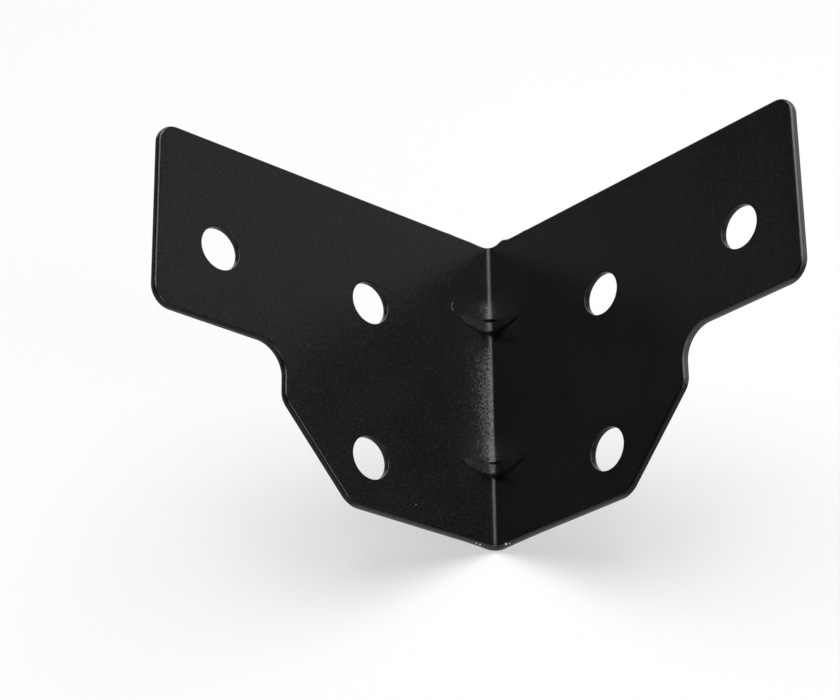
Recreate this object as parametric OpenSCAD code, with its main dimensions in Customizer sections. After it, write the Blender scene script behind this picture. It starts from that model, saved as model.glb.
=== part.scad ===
// Flight case corner: one blanked and folded steel sheet with two wings at a right angle.
// Two gussets pressed into the fold from its outer side stiffen it.
// The outer faces of the wings seat in an inside corner; their planes cross at the origin.

/* [Sheet] */
// Thickness of the steel with its coat
sheet_t = 1.2; // [0.8:0.1:1.6]
// Inner radius of the fold
bend_r = 1.0; // [0.5:0.1:2]

/* [Wings] */
// Length of a wing along its top edge, from the outer face of the other wing
wing_length = 70.8; // [68:0.2:90]
// Height of the fold
fold_height = 55; // [50:1:70]
// Height of the arm that carries the outermost hole, down from the top edge
arm_height = 31.7; // [28:0.1:34]
// Distance of the shoulder from the outer face of the other wing
shoulder_reach = 45.2; // [42:0.1:52]
// Height of the shoulder's upright edge, down from the arm
shoulder_height = 8.8; // [7.5:0.1:12]
// Length of the foot's bottom edge from the outer face of the other wing
foot_length = 31.6; // [28:0.1:38]

/* [Outline rounding] */
// Radius of both corners at an arm's end
arm_end_r = 3.5; // [1:0.5:6]
// Radius of the inward corner where the arm meets the shoulder
arm_fillet_r = 5; // [2:0.5:7]
// Radius of the shoulder's lower corner
shoulder_r = 3; // [1:0.5:4.5]
// Radius of the foot's corner
foot_r = 4; // [2:0.5:12]

/* [Screw holes] */
// Diameter of every screw hole
hole_d = 7.3; // [4:0.1:8.5]
// Distance of the outer hole from the arm's end
hole_end_gap = 12.4; // [9:0.1:18]
// Distance of the two inner holes from the outer face of the other wing
hole_reach = 27.7; // [22:0.1:32]
// Distance of the upper holes from the top edge
hole_top_gap = 18.6; // [10:0.1:22]
// Distance from the upper inner hole down to the lower one
hole_drop = 27.4; // [22:0.1:28]

/* [Gussets] */
// Height of the lower gusset's crest over the bottom edge
gusset_low = 14.1; // [8:0.1:20]
// Distance between the two crests along the fold
gusset_pitch = 26; // [16:0.1:30]
// Distance at which a crest runs out into a wing, from the sharp inner corner
gusset_reach = 8.8; // [6:0.1:14]
// Depth of the crest in the middle, from the sharp inner corner
gusset_depth = 2.9; // [1.8:0.1:3.6]
// Height of the long upper flank at the fold
gusset_rise = 4.8; // [3:0.1:8]
// Height of the short lower flank at the fold
gusset_fall = 1.1; // [0.6:0.1:3]
// Rounding of the crest
gusset_crest_r = 1; // [0.9:0.1:1.4]
// Wall left in the drawn metal of a gusset
gusset_wall = 0.8; // [0.6:0.05:0.85]

/* [Hidden] */
$fn = 96;
past = 5;                                   // how far a cutter runs past what it cuts
crossing = 0.002;                           // what an arc stands past tangency, to cross its edges
bend_outer_r = bend_r + sheet_t;
arm_z = fold_height - arm_height;
shoulder_z = arm_z - shoulder_height;
upper_hole_z = fold_height - hole_top_gap;
outer_hole_x = wing_length - hole_end_gap;
gusset_heights = [gusset_low, gusset_low + gusset_pitch];
gusset_dent_r = gusset_crest_r - gusset_wall;

// Plan of a gusset's crest: it starts on the diagonal and sinks into the wing at this angle.
crest_step = gusset_depth / sqrt(2);
crest_angle = atan(crest_step / (gusset_reach - crest_step));
crest_length = norm([crest_step, gusset_reach - crest_step]);
// Distance from the crest's line back to the sharp inner corner, square to the crest
crest_height = gusset_reach * sin(crest_angle);
upper_flank = 90 + atan(crest_height / gusset_rise);
lower_flank = 180 + atan(gusset_fall / crest_height);

// Corners of a wing's flat blank in turn, each with the radius that rounds it.
// A radius of 0 leaves a corner sharp, and a negative one rounds an inward corner.
wing_corners = [
    [[bend_outer_r, 0], 0],
    [[foot_length, 0], foot_r],
    [[shoulder_reach, shoulder_z], shoulder_r],
    [[shoulder_reach, arm_z], -arm_fillet_r],
    [[wing_length, arm_z], arm_end_r],
    [[wing_length, fold_height], arm_end_r],
    [[bend_outer_r, fold_height], 0]
];

function unit(v) = v / norm(v);
function direction(angle) = [cos(angle), sin(angle)];

// Half of the angle that two edges leaving a corner enclose
function half_angle(a, b) = acos(a * b) / 2;

// Centre of the arc of radius r that is tangent to two edges a and b leaving corner p
function arc_centre(p, a, b, r) = p + unit(a + b) * r / sin(half_angle(a, b));

// Directions from corner i of a closed outline to its two neighbours
function edge_back(corners, i) =
    unit(corners[(i + len(corners) - 1) % len(corners)][0] - corners[i][0]);
function edge_on(corners, i) =
    unit(corners[(i + 1) % len(corners)][0] - corners[i][0]);

// The two tangent points that take the place of corner i
function tangent_points(corners, i) =
    let (p = corners[i][0], r = abs(corners[i][1]),
         a = edge_back(corners, i), b = edge_on(corners, i),
         run = r / tan(half_angle(a, b)))
    r == 0 ? [p] : [p + a * run, p + b * run];

// Circles on the corners whose radius has the given sign
module corner_circles(corners, sign) {
    for (i = [0 : len(corners) - 1]) {
        r = corners[i][1] * sign;
        if (r > 0)
            translate(arc_centre(corners[i][0], edge_back(corners, i), edge_on(corners, i), r))
                circle(r + crossing);
    }
}

// An outline with true arcs on its rounded corners
module rounded_outline(corners) {
    difference() {
        union() {
            polygon([for (i = [0 : len(corners) - 1]) each tangent_points(corners, i)]);
            corner_circles(corners, 1);
        }
        corner_circles(corners, -1);
    }
}

// The hollow side of a right-angled fold in plan: a square corner at [corner, corner]
// with its apex rounded by r
module hollow_plan(corner, r) {
    translate([corner + r, corner + r])
        circle(r);
    for (turn = [0, 1])
        mirror([turn, -turn])
            translate([corner + r, corner])
                square(2 * wing_length);
}

// The folded sheet before its wings are cut to shape
module folded_sheet() {
    linear_extrude(fold_height)
        intersection() {
            difference() {
                hollow_plan(0, bend_outer_r);
                hollow_plan(sheet_t, bend_r);
            }
            square(wing_length);
        }
}

// What the blanking die takes off the wing along +X
module wing_waste() {
    translate([0, sheet_t + past, 0])
        rotate([90, 0, 0])
            linear_extrude(sheet_t + 2 * past)
                difference() {
                    translate([bend_outer_r + past, -past])
                        square([wing_length, fold_height + 2 * past]);
                    rounded_outline(wing_corners);
                }
}

module screw_holes() {
    for (centre = [[outer_hole_x, upper_hole_z], [hole_reach, upper_hole_z],
                   [hole_reach, upper_hole_z - hole_drop]])
        translate([centre[0], sheet_t + past, centre[1]])
            rotate([90, 0, 0])
                cylinder(h = sheet_t + 2 * past, d = hole_d);
}

// Section of a gusset across its crest: a wedge that opens back from a rounded edge.
// The edge's sharp corner lies at the origin, or at a point set back by wall inside it.
module gusset_section(edge_r, wall) {
    a = direction(upper_flank);
    b = direction(lower_flank);
    tip = arc_centre([0, 0], a, b, wall);
    run = edge_r / tan(half_angle(a, b));
    far = gusset_reach;
    polygon([tip + a * run, tip + a * far, tip + b * far, tip + b * run]);
    translate(arc_centre(tip, a, b, edge_r))
        circle(edge_r + crossing);
}

// The half of a gusset's form on the first wing: its section drawn along the crest
module half_gusset(edge_r, wall) {
    intersection() {
        translate([sheet_t + crest_step, sheet_t + crest_step, 0])
            rotate([0, 0, -crest_angle])
                translate([-past, 0, 0])
                    rotate([90, 0, 90])
                        linear_extrude(past + 2 * crest_length)
                            gusset_section(edge_r, wall);
        // Only the first wing's side of the diagonal plane, and just across it
        rotate([0, 0, -135])
            translate([-wing_length, -crossing, -fold_height])
                cube([2 * wing_length, wing_length, 2 * fold_height]);
    }
}

// Both halves, at the height of each crest
module gusset_forms(edge_r, wall) {
    for (z = gusset_heights)
        translate([0, 0, z])
            for (turn = [0, 1])
                mirror([turn, -turn, 0])
                    half_gusset(edge_r, wall);
}

// What stands into the corner, rooted inside the thickness of the sheet
module gusset_ridges() {
    intersection() {
        gusset_forms(gusset_crest_r, 0);
        linear_extrude(fold_height)
            hollow_plan(sheet_t / 2, bend_r + sheet_t / 2);
    }
}

// The punched side: the same form, one gusset wall further out
module gusset_dents() {
    gusset_forms(gusset_dent_r, gusset_wall);
}

module corner_bracket() {
    color("#1b1c1e")
        difference() {
            union() {
                folded_sheet();
                gusset_ridges();
            }
            for (turn = [0, 1])
                mirror([turn, -turn, 0]) {
                    wing_waste();
                    screw_holes();
                }
            gusset_dents();
        }
}

corner_bracket();
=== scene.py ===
"""Looks of the flight case corner: a blanked and folded steel sheet in black powder coat.

One wing is blanked, drilled and rounded as a flat sheet, then bent as far as the diagonal
plane and mirrored in it. The first wing runs along +X, the second along +Y, and the hollow
side looks towards +X and +Y. The gussets are pressed into the folded sheet.
"""

import math

import bmesh
import bpy
from mathutils import Matrix, Vector


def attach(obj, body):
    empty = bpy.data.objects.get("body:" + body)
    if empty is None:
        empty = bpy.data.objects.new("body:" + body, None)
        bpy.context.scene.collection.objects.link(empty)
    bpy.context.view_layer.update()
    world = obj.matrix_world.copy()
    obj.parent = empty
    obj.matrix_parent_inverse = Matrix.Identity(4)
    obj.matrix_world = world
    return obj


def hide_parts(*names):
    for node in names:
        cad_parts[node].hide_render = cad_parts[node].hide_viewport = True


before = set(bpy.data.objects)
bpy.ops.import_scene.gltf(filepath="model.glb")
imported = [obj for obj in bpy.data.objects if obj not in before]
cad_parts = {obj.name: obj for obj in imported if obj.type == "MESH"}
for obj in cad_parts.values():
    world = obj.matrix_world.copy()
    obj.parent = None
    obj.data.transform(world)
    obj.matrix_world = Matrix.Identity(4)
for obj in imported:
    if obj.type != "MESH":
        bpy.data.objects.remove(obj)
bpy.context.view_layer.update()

# Every length of the sheet is in millimetres until scale_to_metres()
MM = 0.001
SHEET = 1.2
BEND_INNER = 1.0
BEND_OUTER = BEND_INNER + SHEET
BEND_STEPS = 7
WING_LENGTH = 70.8
FOLD_HEIGHT = 55.0
ARM_Z = 23.3
SHOULDER_X = 45.2
SHOULDER_Z = 14.5
FOOT_X = 31.6
# Degrees by which the edge from the foot up to the shoulder slants
SLANT = 46.8
ARM_END_R = 3.5
ARM_FILLET_R = 5.0
SHOULDER_R = 3.0
FOOT_R = 4.0
HOLE_R = 3.65
HOLE_SIDES = 64
PUNCH_PAST = 2
HOLES = ((58.4, 36.4), (27.7, 36.4), (27.7, 9.0))

# The coat's rounding of the punched edges, each with its number of segments
INNER_ROUND = (0.5, 5)
OUTER_ROUND = (0.2, 3)
HOLE_ROUND = (0.18, 3)
# Degrees: faces that turn by more meet in a punched edge, and by less they are one face
SHARP = 60
FLAT = 0.5
# How much the larger faces count in the smooth normals
NORMAL_WEIGHT = 80

# Tolerances: a plane's cut, points that touch, points that merge, and choices by place
CUT_TOLERANCE = 1e-4
TOUCH = 1e-3
MERGE = 2e-3
CLEAR = 0.01
AT_CORNER = 0.05
AT_HOLE = 0.1

# The fine grid beside the fold: how far out it goes, the step of its columns, and how much
# of its outer end and of the sheet's top and bottom stays without lines
STRIP_X = 12.0
COLUMN_STEP = 0.33
COLUMN_END = 0.4
ROW_END = 1.2
# The steps of its rows near a crest: from and to, measured up from the crest, and the step
FINE_ROWS = (-2.7, 0.6, 0.12)
MIDDLE_ROWS = (-3.2, 6.5, 0.3)
COARSE_STEP = 0.6

# The gussets: the heights of their crests, and a crest's plan from the fold to its tips
CRESTS = (14.35, 40.3)
CREST_REACH = 8.8
CREST_DEPTH = 0.85
PLAN_SOFT = 1.9
# How far past a tip the metal still moves
PRESS_MARGIN = 1
# A gusset's section: the height of the long upper flank and what it gains towards a tip, the
# height and lean of the nearly upright band under the crest, and of the steep underside
RISE = 4.6
RISE_GAIN = 1.2
BAND = 1.9
BAND_LEAST = 0.05
BAND_LEAN = 0.08
FALL = 0.35
# The dent on the outer side: the metal between, and how much higher its underside lies
DRAWN_WALL = 0.65
DENT_LIFT = 0.8
# Rounding of the crest, and of the line where a gusset leaves the wing
CREST_SOFT = 0.3
FOOT_SOFT = 0.15
# How fine the lenses are that open the slits
SLIT_SEGMENTS = 20
SLIT_RINGS = 10

# What folding squeezes out at the fold's ends: height, place along the wing and width
SWELL_REACH = 12
LIP_FADE = 2.5
LIP = (0.24, 0.0, 3.6)
LIP_SECOND_WING = (0.10, 5.0, 4.0)
TOP_FADE = 1.8
TOP_BUMP = (0.42, 4.4, 1.0)
TOP_DIP = (0.10, 3.0, 1.2)


# ---------------------------------------------------------------- modelling


def only(piece):
    """Selects this piece alone and makes it the active one."""
    bpy.ops.object.select_all(action="DESELECT")
    piece.select_set(True)
    bpy.context.view_layer.objects.active = piece


def start_edit(piece, mode="FACE"):
    """Only this piece is selected, and it is in edit mode with nothing selected."""
    only(piece)
    bpy.ops.object.mode_set(mode="EDIT")
    bpy.ops.mesh.select_mode(type=mode)
    bpy.ops.mesh.select_all(action="DESELECT")


def end_edit():
    bpy.ops.object.mode_set(mode="OBJECT")


def choose(piece, mode, test):
    """In edit mode, selects the vertices or faces whose corner points all pass a test."""
    bpy.ops.mesh.select_all(action="DESELECT")
    bpy.ops.mesh.select_mode(type=mode)
    mesh = bmesh.from_edit_mesh(piece.data)
    for part in mesh.verts if mode == "VERT" else mesh.faces:
        corners = [part.co] if mode == "VERT" else [v.co for v in part.verts]
        if all(test(c) for c in corners):
            part.select_set(True)
    bmesh.update_edit_mesh(piece.data)


def keep_chosen(piece, test):
    """Of the selected edges, keeps those whose ends pass a test, but not the bend's end."""
    mesh = bmesh.from_edit_mesh(piece.data)
    for edge in mesh.edges:
        ends = [v.co for v in edge.verts]
        if not all(test(c) for c in ends) or all(near(c.x, BEND_OUTER) for c in ends):
            edge.select_set(False)
    bmesh.update_edit_mesh(piece.data)


def apply_modifier(piece, kind, **settings):
    modifier = piece.modifiers.new(kind.lower(), kind)
    for name, value in settings.items():
        setattr(modifier, name, value)
    only(piece)
    bpy.ops.object.modifier_apply(modifier=modifier.name)


def take_out(sheet, add_primitive, **how):
    """Cuts a primitive's form out of the sheet."""
    bpy.ops.object.select_all(action="DESELECT")
    add_primitive(**how)
    tool = bpy.context.active_object
    bpy.ops.object.transform_apply(location=True, rotation=True, scale=True)
    apply_modifier(sheet, "BOOLEAN", object=tool, operation="DIFFERENCE", solver="EXACT")
    bpy.data.objects.remove(tool)


def cut(point, normal, **kept):
    bpy.ops.mesh.bisect(
        plane_co=point, plane_no=Vector(normal).normalized(), threshold=CUT_TOLERANCE, **kept)


def near(a, b):
    return abs(a - b) < TOUCH


def flat_blank():
    """The flat outline of the wing along +X, from the end of the bend to the arm's end."""
    width = WING_LENGTH - BEND_OUTER
    bpy.ops.object.select_all(action="DESELECT")
    bpy.ops.mesh.primitive_plane_add(
        size=1, rotation=(math.radians(90), 0, 0),
        location=(BEND_OUTER + width / 2, 0, FOLD_HEIGHT / 2))
    blank = bpy.context.active_object
    blank.name = "folded_sheet"
    blank.scale = (width, FOLD_HEIGHT, 1)
    bpy.ops.object.transform_apply(location=True, rotation=True, scale=True)
    start_edit(blank)

    # Everything under the arm and beyond the shoulder is waste
    bpy.ops.mesh.select_all(action="SELECT")
    cut((SHOULDER_X, 0, 0), (1, 0, 0))
    bpy.ops.mesh.select_all(action="SELECT")
    cut((0, 0, ARM_Z), (0, 0, 1))
    choose(blank, "FACE", lambda c: c.x > SHOULDER_X - CLEAR and c.z < ARM_Z + CLEAR)
    bpy.ops.mesh.delete(type="FACE")
    # So is what lies under the slanting edge
    choose(blank, "FACE", lambda c: c.x < SHOULDER_X + CLEAR and c.z < ARM_Z + CLEAR)
    cut((FOOT_X, 0, 0), (SHOULDER_Z, 0, FOOT_X - SHOULDER_X), clear_outer=True)
    bpy.ops.mesh.select_all(action="SELECT")
    bpy.ops.mesh.dissolve_limited(angle_limit=math.radians(FLAT))

    # Each corner's place, its radius, the angle that its edges enclose, and its segments
    corners = (
        (WING_LENGTH, FOLD_HEIGHT, ARM_END_R, 90, 10),
        (WING_LENGTH, ARM_Z, ARM_END_R, 90, 10),
        (SHOULDER_X, ARM_Z, ARM_FILLET_R, 90, 14),
        (SHOULDER_X, SHOULDER_Z, SHOULDER_R, 90 + SLANT, 8),
        (FOOT_X, 0, FOOT_R, 180 - SLANT, 12),
    )
    for x, z, radius, angle, segments in corners:
        choose(blank, "VERT", lambda c: abs(c.x - x) < AT_CORNER and abs(c.z - z) < AT_CORNER)
        bpy.ops.mesh.bevel(
            offset=radius / math.tan(math.radians(angle / 2)), affect="VERTICES",
            offset_type="OFFSET", segments=segments, profile=0.5, clamp_overlap=False)
    end_edit()
    return blank


def cut_strip(blank):
    """A fine grid beside the fold, where the gussets are pressed in."""
    start_edit(blank)
    bpy.ops.mesh.select_all(action="SELECT")
    cut((STRIP_X, 0, 0), (1, 0, 0))
    x = BEND_OUTER
    while x < STRIP_X - COLUMN_END:
        x += COLUMN_STEP
        choose(blank, "FACE", in_strip)
        cut((x, 0, 0), (1, 0, 0))
    for z in strip_heights():
        choose(blank, "FACE", in_strip)
        cut((0, 0, z), (0, 0, 1))
    end_edit()


def in_strip(c):
    return c.x < STRIP_X + CLEAR


def strip_heights():
    """Heights of the grid's rows: closest together from a crest down to its underside."""
    heights = []
    z = ROW_END
    while z < FOLD_HEIGHT - ROW_END:
        heights.append(z)
        off = min((z - crest for crest in CRESTS), key=abs)
        z += row_step(off)
    return heights


def row_step(off):
    for low, high, step in (FINE_ROWS, MIDDLE_ROWS):
        if low < off < high:
            return step
    return COARSE_STEP


def thicken(blank):
    start_edit(blank)
    bpy.ops.mesh.select_all(action="SELECT")
    bpy.ops.mesh.extrude_region_move(TRANSFORM_OT_translate={"value": (0, SHEET, 0)})
    bpy.ops.mesh.select_all(action="SELECT")
    bpy.ops.mesh.normals_make_consistent(inside=False)
    end_edit()


def drill(blank):
    for x, z in HOLES:
        take_out(
            blank, bpy.ops.mesh.primitive_cylinder_add, vertices=HOLE_SIDES, radius=HOLE_R,
            depth=SHEET + 2 * PUNCH_PAST, location=(x, SHEET / 2, z),
            rotation=(math.radians(90), 0, 0))


def at_hole(c):
    return any(math.hypot(c.x - x, c.z - z) < HOLE_R + AT_HOLE for x, z in HOLES)


def round_edges(sheet):
    """The coat flows round the punched edges: wide on the hollow side, tight elsewhere."""
    for depth, edge_round in ((SHEET, INNER_ROUND), (0.0, OUTER_ROUND)):
        for hole in (False, True):
            start_edit(sheet, "EDGE")
            bpy.ops.mesh.edges_select_sharp(sharpness=math.radians(SHARP))
            keep_chosen(sheet, lambda c: near(c.y, depth) and at_hole(c) == hole)
            radius, segments = HOLE_ROUND if hole else edge_round
            bpy.ops.mesh.bevel(
                offset=radius, offset_type="OFFSET", segments=segments, profile=0.5,
                affect="EDGES", clamp_overlap=False)
            end_edit()


def bend_half(blank):
    """Spins the sheet's end through half of the right angle, to the diagonal plane."""
    start_edit(blank)
    choose(blank, "FACE", lambda c: near(c.x, BEND_OUTER))
    bpy.ops.mesh.spin(
        steps=BEND_STEPS, angle=math.radians(45), center=(BEND_OUTER, BEND_OUTER, 0),
        axis=(0, 0, 1))
    end_edit()


def on_diagonal(c):
    return abs(c.x - c.y) < MERGE


def second_wing(half):
    """The other wing mirrors this one in the diagonal plane."""
    start_edit(half)
    choose(half, "FACE", on_diagonal)
    bpy.ops.mesh.delete(type="FACE")
    end_edit()
    only(half)
    bpy.ops.object.duplicate()
    other = bpy.context.active_object
    # Swapping x and y is the mirroring
    other.data.transform(Matrix(((0, 1, 0, 0), (1, 0, 0, 0), (0, 0, 1, 0), (0, 0, 0, 1))))
    half.select_set(True)
    bpy.context.view_layer.objects.active = half
    bpy.ops.object.join()
    start_edit(half, "VERT")
    bpy.ops.mesh.select_all(action="SELECT")
    bpy.ops.mesh.remove_doubles(threshold=MERGE)
    bpy.ops.mesh.normals_make_consistent(inside=False)
    end_edit()


def soft_max(a, b, soft):
    """The larger of two values, with the crease between them rounded."""
    blend = max(soft - abs(a - b), 0.0) / soft
    return max(a, b) + blend * blend * soft / 4


def press_gussets(sheet):
    """Moves the metal inwards along the diagonal, as the punch does.

    A point is read as its distance across the diagonal and its depth along it. A form's
    crest fades out slowly upwards; below it an upright band ends in a steep underside. The
    metal goes to whichever stands further in, the sheet or the form. Past a tip the crest has
    faded but the dent has not: from the lower gusset up, the outer face stays sunk there by up
    to half a millimetre, where a real sheet is flat.
    """
    tip = CREST_REACH / 2
    slope = 1 - CREST_DEPTH / tip
    # This softness puts the middle of the fold's hollow face where the bend's radius does
    fillet = 4 * BEND_INNER * (1 - math.sqrt(0.5))
    for vertex in sheet.data.vertices:
        c = vertex.co
        across = abs(c.x - c.y) / 2
        if across > tip + PRESS_MARGIN:
            continue
        depth = (c.x + c.y) / 2
        inner = wall_share(c)
        crest = SHEET + CREST_DEPTH + soft_max(across, -across, PLAN_SOFT) * slope
        proud = max(crest - SHEET - soft_max(across, -across, fillet), 0.0)
        rise = RISE + RISE_GAIN * across / tip
        band = BAND * max(1 - (across / tip) ** 2, BAND_LEAST)
        pressed = depth
        for height in CRESTS:
            up = max(c.z - height, 0.0) / rise * proud
            lean = max(height - c.z, 0.0) * BAND_LEAN
            low = max(height - band - c.z, 0.0) / FALL * proud
            back = max(height - band + DENT_LIFT - c.z, 0.0) / FALL * proud
            ridge = crest - soft_max(up, lean + low, CREST_SOFT)
            dent = crest - DRAWN_WALL - soft_max(up, lean + back, CREST_SOFT)
            pressed = soft_max(pressed, dent + (ridge - dent) * inner, FOOT_SOFT)
        c.x += pressed - depth
        c.y += pressed - depth


def wall_share(c):
    """0 on the outer face, 1 on the inner face."""
    if c.x > BEND_OUTER and c.y > BEND_OUTER:
        return 1.0
    if c.x >= BEND_OUTER:
        out = c.y
    elif c.y >= BEND_OUTER:
        out = c.x
    else:
        out = BEND_OUTER - math.hypot(BEND_OUTER - c.x, BEND_OUTER - c.y)
    return min(max(out / SHEET, 0.0), 1.0)


def swelling(reach, height, place, width):
    return height * math.exp(-((reach - place) / width) ** 2)


def swell_fold_ends(sheet):
    """Folding squeezes the metal out at the fold's ends: a lip below and a bump on top."""
    for vertex in sheet.data.vertices:
        c = vertex.co
        reach = max(c.x, c.y)
        if reach > SWELL_REACH:
            continue
        on_second = c.y > c.x
        lip = swelling(reach, *LIP)
        if on_second:
            lip += swelling(reach, *LIP_SECOND_WING)
        c.z -= max(1 - c.z / LIP_FADE, 0.0) * lip
        top = swelling(reach, *TOP_BUMP) if on_second else -swelling(reach, *TOP_DIP)
        c.z += max(1 - (FOLD_HEIGHT - c.z) / TOP_FADE, 0.0) * top


def tear_slits(sheet):
    """Where the drawn metal has opened along a crest: a lens at the fold, and a crease."""
    middle = SHEET + CREST_DEPTH + PLAN_SOFT / 4 * (1 - 2 * CREST_DEPTH / CREST_REACH)
    lower, upper = CRESTS
    # Each lens: its place, half its length and height, its depth, and its turn in degrees
    lenses = [
        (middle, middle, upper + 0.02, 0.98, 0.38, 0.8, -45),
        (middle, middle, lower - 0.04, 0.80, 0.25, 0.8, -45),
        (middle + 1.05, middle - 0.48, lower + 0.08, 1.5, 0.07, 0.35, -16),
        (middle - 0.48, middle + 1.05, lower + 0.08, 0.9, 0.06, 0.35, -74),
        (middle + 0.9, middle - 0.5, upper - 0.02, 0.8, 0.05, 0.3, -20),
    ]
    for x, y, z, half_length, half_height, depth, turn in lenses:
        take_out(
            sheet, bpy.ops.mesh.primitive_uv_sphere_add, segments=SLIT_SEGMENTS,
            ring_count=SLIT_RINGS, radius=1, location=(x, y, z),
            rotation=(0, 0, math.radians(turn)), scale=(half_length, depth, half_height))


def scale_to_metres(piece):
    start_edit(piece, "VERT")
    bpy.ops.mesh.select_all(action="SELECT")
    bpy.ops.transform.resize(value=(MM, MM, MM), center_override=(0, 0, 0))
    end_edit()


sheet = flat_blank()
cut_strip(sheet)
thicken(sheet)
drill(sheet)
round_edges(sheet)
bend_half(sheet)
second_wing(sheet)
press_gussets(sheet)
swell_fold_ends(sheet)
tear_slits(sheet)
scale_to_metres(sheet)
only(sheet)
bpy.ops.object.shade_smooth()
apply_modifier(sheet, "WEIGHTED_NORMAL", mode="FACE_AREA", weight=NORMAL_WEIGHT,
               keep_sharp=False)
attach(sheet, "root")
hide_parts("corner_bracket")


# ---------------------------------------------------------------- finish

COAT_IOR = 1.28
BLACK = (0.0010, 0.0010, 0.0012, 1)
WARM_BLACK = (0.0022, 0.0020, 0.0018, 1)
GRAIN = (0.0135, 0.0124, 0.0108, 1)
# The colour of the painted light on the edge faces
PAINTED_EDGE_LIGHT = (0.060, 0.059, 0.055, 1)
# The colour of the spray's layer, its painted glow, and the painted light under the crests
FILM_AND_PAINTED_LIGHT = (0.028, 0.0275, 0.022, 1)
FLECK = (0.060, 0.058, 0.050, 1)
# The colour of dust, and of a painted highlight at a gusset's tip
DUST_AND_GLINT = (0.22, 0.23, 0.25, 1)
STEEL = (0.46, 0.45, 0.43, 1)

# Places of the finish on the sheet, in millimetres. A pair says where a mask is empty and
# where it is full. FIRST_WING is of x less y, SECOND_WING of y less x, and HOLLOW_FACE and the
# face of the tip's painted highlight are depths under the outer face.
FIRST_WING = (-0.5, 0.3)
SECOND_WING = (0.0, 1.0)
HOLLOW_FACE = (0.7, 1.0)
SPRAY_REACH = (11.0, 0.5)
SPRAY_FALLOFF = 1.6
SPRAY_BOTTOM = (11.5, 16.0)
# Painted shade: the stripe fades out under the upper gusset
GUSSET_SHADE_TOP = (41.5, 31.0)
# A painted glow on the upper gusset's flank
PATCH_HEIGHT = 42.2
PATCH_SPREAD = (2.6, 0.8)
PATCH_REACH = (5.5, 1.5)
# The bands under the crests, where painted light lies as from the white table below
BAND_DROP = 1.2
BAND_SPREAD = (1.25, 0.85)
STANDS_PROUD = (0.0, 0.25)
# A painted glow that brightens the flecks towards the fold
GLOW_REACH = (5.0, 1.5)
GLOW_TOP = (38.0, 30.0)
# Where a painted reflection lightens the grain at the second wing's far end
PAINTED_REFLECTION_REACH = (34.0, 50.0)
FOLD_REACH = (4.0, 1.5)
# Where painted light lies on the edge faces
ARM_EDGE = (0.4, 0.15)
ARM_END = (WING_LENGTH - 0.55, WING_LENGTH - 0.15)
FOOT_EDGE = (0.35, 0.1)
# Pairs for the noise and the cells: which of their values count
CLOUDS = (0.3, 0.7)
GRAIN_TIPS = (0.44, 0.74)
FLECK_TIPS = (0.56, 0.74)
FILM_PATCHES = (0.35, 0.65)
CHIP_EDGE = (0.45, 0.6)
DUST_SIZE = (0.042, 0.02)
DUST_PICK = (0.50, 0.51)
# A painted highlight on the upper gusset's blunt tip is a part of an oval: its middle, radius,
# how much it is squeezed, the width of its line, and the part that shows
GLINT_X = 9.55
GLINT_Z = 41.3
GLINT_RADIUS = 0.42
GLINT_SQUEEZE_X = 1.6
GLINT_SQUEEZE_Z = 0.62
GLINT_LINE = (0.09, 0.02)
GLINT_START = (9.5, 9.7)
GLINT_DEPTH = (0.9, 0.5)
GLINT_FACE = (0.9, 1.1)
# Chips through to the steel at the fold's lower end, each with its radius
CHIPS = (
    (1.05, 3.6, 0.1, 0.32),
    (4.3, 0.85, -0.1, 0.27),
    (5.1, 0.9, -0.05, 0.2),
    (0.9, 4.3, 0.0, 0.2),
)
# The share of its radius within which a spot is full
SPOT_CORE = 0.6


class Shade:
    """One socket, so that shader maths reads as plain sums."""

    def __init__(self, nodes, socket):
        self.nodes = nodes
        self.socket = socket

    def out(self, key):
        """Another output of the same node."""
        return Shade(self.nodes, self.socket.node.outputs[key])

    def math(self, operation, *values):
        return self.nodes.add(
            "ShaderNodeMath", {"operation": operation}, dict(enumerate(values)))

    def __add__(self, other):
        return self.math("ADD", self, other)

    __radd__ = __add__

    def __sub__(self, other):
        return self.math("SUBTRACT", self, other)

    def __rsub__(self, other):
        return self.math("SUBTRACT", other, self)

    def __mul__(self, other):
        return self.math("MULTIPLY", self, other)

    __rmul__ = __mul__

    def __pow__(self, other):
        return self.math("POWER", self, other)

    def __abs__(self):
        return self.math("ABSOLUTE", self)

    def more(self, other):
        return self.math("MAXIMUM", self, other)

    def less(self, other):
        return self.math("MINIMUM", self, other)

    def smooth(self, empty, full):
        """A smooth step from 0 at one value to 1 at the other, whichever of them is larger."""
        step = self.nodes.add(
            "ShaderNodeMapRange", {"interpolation_type": "SMOOTHSTEP"},
            {"Value": self, "From Min": min(empty, full), "From Max": max(empty, full)})
        return 1 - step if empty > full else step


class Nodes:
    """The node tree of a material or of the world, emptied first."""

    def __init__(self, owner):
        owner.use_nodes = True
        self.tree = owner.node_tree
        self.tree.nodes.clear()

    def add(self, kind, settings=None, sockets=None, out=0):
        """Adds a node: its settings first, then its sockets' values or links."""
        made = self.tree.nodes.new(kind)
        for name, value in (settings or {}).items():
            setattr(made, name, value)
        for key, value in (sockets or {}).items():
            if isinstance(value, Shade):
                self.tree.links.new(value.socket, made.inputs[key])
            else:
                made.inputs[key].default_value = value
        return Shade(self, made.outputs[out]) if made.outputs else None

    def mix_shader(self, share, first, second):
        return self.add("ShaderNodeMixShader", None, {0: share, 1: first, 2: second})


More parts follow.
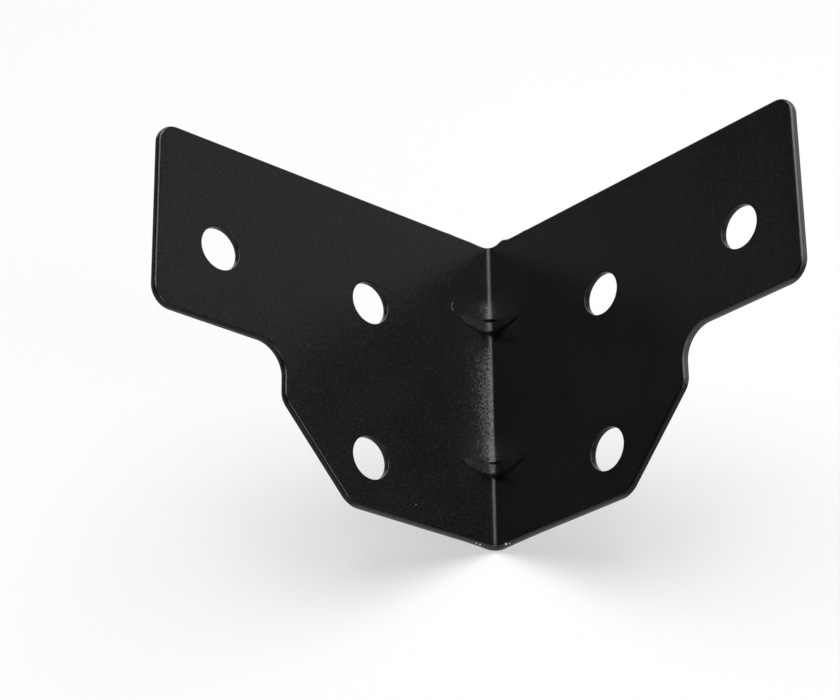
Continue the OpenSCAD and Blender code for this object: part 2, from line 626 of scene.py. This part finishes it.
class Coat(Nodes):
    """A material whose patterns have their place on the sheet, in millimetres."""

    def __init__(self, name):
        self.material = bpy.data.materials.new(name)
        super().__init__(self.material)
        place = self.add("ShaderNodeTexCoord", out="Object")
        self.mm = self.add(
            "ShaderNodeVectorMath", {"operation": "SCALE"}, {0: place, "Scale": 1 / MM})
        parts = self.add("ShaderNodeSeparateXYZ", None, {0: self.mm})
        self.x, self.y, self.z = (parts.out(axis) for axis in "XYZ")

    def noise(self, scale, detail=2.0, rough=0.5, warp=0.0):
        return self.add("ShaderNodeTexNoise", None, {
            "Vector": self.mm, "Scale": scale, "Detail": detail, "Roughness": rough,
            "Distortion": warp}, out="Fac")

    def ragged(self, value, scale, width):
        """A value that wanders by half of width to either side."""
        return value + (self.noise(scale) - 0.5) * width

    def colour_mix(self, share, first, second):
        # Sockets 6 and 7 and output 2 are the node's colours
        return self.add("ShaderNodeMix", {"data_type": "RGBA"},
                        {"Factor": share, 6: first, 7: second}, out=2)

    def spot(self, x, y, z, radius):
        away = self.add("ShaderNodeVectorMath", {"operation": "DISTANCE"},
                        {0: self.mm, 1: (x, y, z)}, out="Value")
        return away.smooth(radius, radius * SPOT_CORE)

    def bump(self, height, depth, strength, **over):
        return self.add("ShaderNodeBump", None, {
            "Height": height, "Distance": depth * MM, "Strength": strength, **over})

    def first_wing(self):
        """The first wing's hollow side."""
        return (self.x - self.y).smooth(*FIRST_WING) * self.y.smooth(*HOLLOW_FACE)

    def band_painted_light(self):
        """Painted light on the upright bands under the crests, where they stand proud of the
        wings.
        """
        lower, upper = (abs(self.z - crest + BAND_DROP) for crest in CRESTS)
        proud = self.x.less(self.y) - SHEET
        return lower.less(upper).smooth(*BAND_SPREAD) * proud.smooth(*STANDS_PROUD)

    def overspray_and_painted_light(self, side):
        """Spray with painted glow by the fold and on the upper gusset; painted shade under it.
        """
        reach = self.ragged(self.x, scale=0.6, width=4.0)
        bottom = self.ragged(self.z, scale=0.35, width=6.0).smooth(*SPRAY_BOTTOM)
        # Painted shade: the stripe fades out just under the upper gusset
        length = bottom * self.z.smooth(*GUSSET_SHADE_TOP)
        # Painted glow: the stripe grows brighter towards the fold
        stripe = length * reach.smooth(*SPRAY_REACH) ** SPRAY_FALLOFF
        # A painted glow on the upper gusset's flank, beside the fold's highlight
        patch = abs(self.z - PATCH_HEIGHT).smooth(*PATCH_SPREAD) * reach.smooth(*PATCH_REACH)
        return side * stripe.more(patch * 0.8)

    def painted_edge_light(self):
        """Painted light on the punched edge faces: the second wing's arm and end, and the foot.

        The arm's inward corner is round, so the distance from it is measured from the arc.
        """
        out = self.x.more(self.y)
        over = (SHOULDER_X + ARM_FILLET_R - out).more(0.0)
        under_arm = (self.z - (ARM_Z - ARM_FILLET_R)).more(0.0)
        inward = (over ** 2.0 + under_arm ** 2.0) ** 0.5 - ARM_FILLET_R
        arm = inward.smooth(*ARM_EDGE).more(out.smooth(*ARM_END))
        return (arm * (self.y - self.x).smooth(*SECOND_WING)).more(
            self.z.smooth(*FOOT_EDGE) * 0.6)

    def dust(self):
        """Sparse dust, one grain in every other cell or so."""
        distance = self.add("ShaderNodeTexVoronoi", None, {"Vector": self.mm, "Scale": 0.3},
                            out="Distance")
        picked = self.add("ShaderNodeSeparateColor", None, {0: distance.out("Color")})
        return distance.smooth(*DUST_SIZE) * picked.smooth(*DUST_PICK)

    def painted_tip_glint(self):
        """A painted highlight on the upper gusset's blunt tip: a short hook."""
        wide = (self.x - GLINT_X) ** 2.0 * GLINT_SQUEEZE_X
        high = ((self.z - GLINT_Z) * GLINT_SQUEEZE_Z) ** 2.0
        hook = abs((wide + high) ** 0.5 - GLINT_RADIUS).smooth(*GLINT_LINE)
        hook = hook * self.x.smooth(*GLINT_START) * (self.y - SHEET).smooth(*GLINT_DEPTH)
        return hook * self.y.smooth(*GLINT_FACE)

    def chips(self, grain):
        """Chips through to the steel where the fold's lower end touches down."""
        chips = self.spot(*CHIPS[0])
        for chip in CHIPS[1:]:
            chips = chips.more(self.spot(*chip))
        return (chips + (grain - 0.5) * 0.6).smooth(*CHIP_EDGE)


def powder_coat():
    """Satin black powder coat: orange peel, fine grain, spray by the fold, and painted light.
    """
    coat = Coat("black_powder_coat")
    peel = coat.noise(scale=0.85, detail=1.5)
    cloud = coat.noise(scale=0.07, detail=3.0)
    grain = coat.noise(scale=3.2, detail=3.0, rough=0.6)
    fine = coat.noise(scale=7.5, rough=0.6)
    spots = coat.noise(scale=2.4, detail=3.0, rough=0.65, warp=0.3)
    patches = coat.noise(scale=1.1, detail=3.0)
    chips = coat.chips(fine)

    # Spray and painted glow, in flecks and a layer; under the crests mostly the layer
    side = coat.first_wing()
    # Painted light on the bands under the crests, most on the first wing
    under = coat.band_painted_light() * (0.12 + side * 0.88)
    spray_and_painted_light = coat.overspray_and_painted_light(side).more(under * 0.42)
    # Painted glow: the flecks grow brighter towards the fold, and fade under the upper gusset
    painted_fold_glow = coat.x.smooth(*GLOW_REACH) * coat.z.smooth(*GLOW_TOP) * 0.05
    flecks = (spots + spray_and_painted_light * 0.14 + painted_fold_glow).smooth(*FLECK_TIPS) * spray_and_painted_light * (1 - under * 0.6)
    film_and_painted_light = (spray_and_painted_light + under * 0.6) * (0.45 + patches.smooth(*FILM_PATCHES) * 0.55)

    # Painted light: the grain shows most on the first wing, which the lamps light, and a little
    # at the second wing's far end, a painted reflection
    grain_and_painted_light = 0.12 + side * 0.58 + coat.y.smooth(*PAINTED_REFLECTION_REACH) * 0.3
    colour = coat.colour_mix(cloud.smooth(*CLOUDS), BLACK, WARM_BLACK)
    for share, over in (
            (grain.smooth(*GRAIN_TIPS) * grain_and_painted_light, GRAIN),
            (coat.painted_edge_light() * 0.55, PAINTED_EDGE_LIGHT),
            (film_and_painted_light * 0.32, FILM_AND_PAINTED_LIGHT),
            (flecks, FLECK),
            # Dust, and a painted highlight at the upper gusset's tip
            ((coat.painted_tip_glint() * 0.4).more(coat.dust() * 0.7), DUST_AND_GLINT),
            (chips, STEEL)):
        colour = coat.colour_mix(share, colour, over)

    # The peel and the grain are bumps; the spray is coarser and has less gloss
    low = coat.bump(peel, depth=0.06, strength=0.6)
    height = grain * 0.7 + fine * 0.4 + flecks * 1.6 + film_and_painted_light * 0.5 - chips * 1.5
    bump = coat.bump(height, depth=0.05, strength=0.55, Normal=low)
    fold = coat.x.more(coat.y).smooth(*FOLD_REACH)
    rough = 0.21 + fold * 0.07 + cloud * 0.08 + (grain - 0.5) * 0.16
    shader = coat.add("ShaderNodeBsdfPrincipled", None, {
        "Base Color": colour, "Roughness": rough + spray_and_painted_light * 0.12 + flecks * 0.1,
        "Metallic": chips * 0.9, "Normal": bump, "IOR": COAT_IOR})
    coat.add("ShaderNodeOutputMaterial", None, {"Surface": shader})
    return coat.material


sheet.data.materials.clear()
sheet.data.materials.append(powder_coat())


# ---------------------------------------------------------------- stage

# The fold's lower end stands on the table, which slants in the object's own frame. UP is
# the table's normal, SEEN the way in which the camera looks, and LEVEL_RIGHT its right side.
UP = Vector((0.5445, 0.5445, 0.64)).normalized()
SEEN = Vector((-0.59796, -0.68197, 0.42114)).normalized()
LEVEL_RIGHT = Vector((-0.75522, 0.65537, -0.01103)).normalized()
CAMERA_PLACE = Vector((0.296481, 0.31983, -0.165769))
CAMERA_LENS = 121.545
SENSOR_WIDTH = 36

# Along the table, away from the camera and to its right
AWAY = (SEEN - UP * SEEN.dot(UP)).normalized()
LEVEL = AWAY.cross(UP).normalized()

TABLE_SIZE = 4.0
# The fold is round, so it touches the table a little over the point where its faces cross
TABLE_RISE = 0.45 * MM
PAPER = (0.465, 0.435, 0.420, 1)
NEAR_WHITE = (0.92, 0.92, 0.915, 1)
FAR_WHITE = (0.97, 0.97, 0.97, 1)
ROOM_GREY = (0.03, 0.03, 0.03, 1)
# The cosine from which a lamp counts as overhead
OVERHEAD = 0.99
# The share of its own white that the table shows, and where it fades to the far white
OWN_WHITE = 0.6
FADE = (0.12, 0.6)


def lay_table():
    """A white table: it looks white, and still takes a part of the object's shadow."""
    bpy.ops.object.select_all(action="DESELECT")
    bpy.ops.mesh.primitive_plane_add(size=TABLE_SIZE)
    floor = bpy.context.active_object
    floor.name = "floor"
    floor.data.transform(UP.to_track_quat("Z", "Y").to_matrix().to_4x4())
    floor.data.transform(Matrix.Translation(UP * TABLE_RISE))
    material = bpy.data.materials.new("white_table")
    nodes = Nodes(material)
    paper = nodes.add("ShaderNodeBsdfDiffuse", None, {"Color": PAPER})
    white = nodes.add("ShaderNodeEmission", None, {"Color": NEAR_WHITE})
    paler = nodes.add("ShaderNodeEmission", None, {"Color": FAR_WHITE})
    camera_ray = nodes.add("ShaderNodeLightPath", out="Is Camera Ray")
    seen = camera_ray.more(camera_ray.out("Is Glossy Ray"))
    place = nodes.add("ShaderNodeTexCoord", out="Object")
    away = nodes.add("ShaderNodeVectorMath", {"operation": "LENGTH"}, {0: place}, out="Value")
    lit = nodes.mix_shader(seen * OWN_WHITE, paper, white)
    lit = nodes.mix_shader(seen * away.smooth(*FADE), lit, paler)
    # From below the table is clear, so that no view of the object is blocked
    clear = nodes.add("ShaderNodeBsdfTransparent")
    back = nodes.add("ShaderNodeNewGeometry", out="Backfacing")
    nodes.add("ShaderNodeOutputMaterial", None, {"Surface": nodes.mix_shader(back, lit, clear)})
    floor.data.materials.append(material)


def add_holder(name, data, side, top, back, place):
    """Puts a lamp or the camera in the scene: its three axes, and where it stands."""
    holder = bpy.data.objects.new(name, data)
    bpy.context.scene.collection.objects.link(holder)
    holder.matrix_world = Matrix((
        (side.x, top.x, back.x, place.x),
        (side.y, top.y, back.y, place.y),
        (side.z, top.z, back.z, place.z),
        (0, 0, 0, 1)))
    return holder


def lamp(name, away, right, up, size, energy, colour=(1, 1, 1)):
    """A soft box, placed in metres from the object and turned to face it."""
    light = bpy.data.lights.new(name, "AREA")
    light.shape = "RECTANGLE"
    light.size, light.size_y = size
    light.energy = energy
    light.color = colour
    place = AWAY * away + LEVEL * right + UP * up
    back = place.normalized()
    # A lamp straight overhead has no level side of its own
    side = (UP.cross(back) if abs(back.dot(UP)) < OVERHEAD else LEVEL).normalized()
    add_holder(name, light, side, back.cross(side), back, place).visible_camera = False


def light_room():
    """A dim grey room, which looks white where the camera sees it past the table."""
    world = bpy.data.worlds.new("room")
    bpy.context.scene.world = world
    nodes = Nodes(world)
    room = nodes.add("ShaderNodeBackground", None, {"Color": ROOM_GREY})
    white = nodes.add("ShaderNodeBackground", None, {"Color": FAR_WHITE})
    camera_ray = nodes.add("ShaderNodeLightPath", out="Is Camera Ray")
    nodes.add("ShaderNodeOutputWorld", None,
              {"Surface": nodes.mix_shader(camera_ray, room, white)})


def set_camera():
    data = bpy.data.cameras.new("camera")
    data.lens = CAMERA_LENS
    data.sensor_width = SENSOR_WIDTH
    back = -SEEN
    bpy.context.scene.camera = add_holder(
        "camera", data, LEVEL_RIGHT, back.cross(LEVEL_RIGHT), back, CAMERA_PLACE)


lay_table()
# A broad low box behind, and the box overhead that draws the highlight down the fold
lamp("sweep", away=1.35, right=0.15, up=0.30, size=(2.8, 0.6), energy=6)
lamp("overhead", away=0.10, right=0.05, up=1.05, size=(0.85, 1.6), energy=38,
     colour=(0.90, 0.97, 1.0))
# Two cards that the wings reflect, and a small box for the rounded edges
lamp("right_card", away=0.15, right=1.15, up=0.45, size=(0.9, 0.7), energy=1.75)
lamp("left_card", away=0.35, right=-1.2, up=0.28, size=(0.8, 0.5), energy=0.75)
lamp("front", away=-0.90, right=0.45, up=0.42, size=(0.55, 0.45), energy=6)
light_room()
set_camera()

bpy.context.scene.view_settings.view_transform = "Standard"
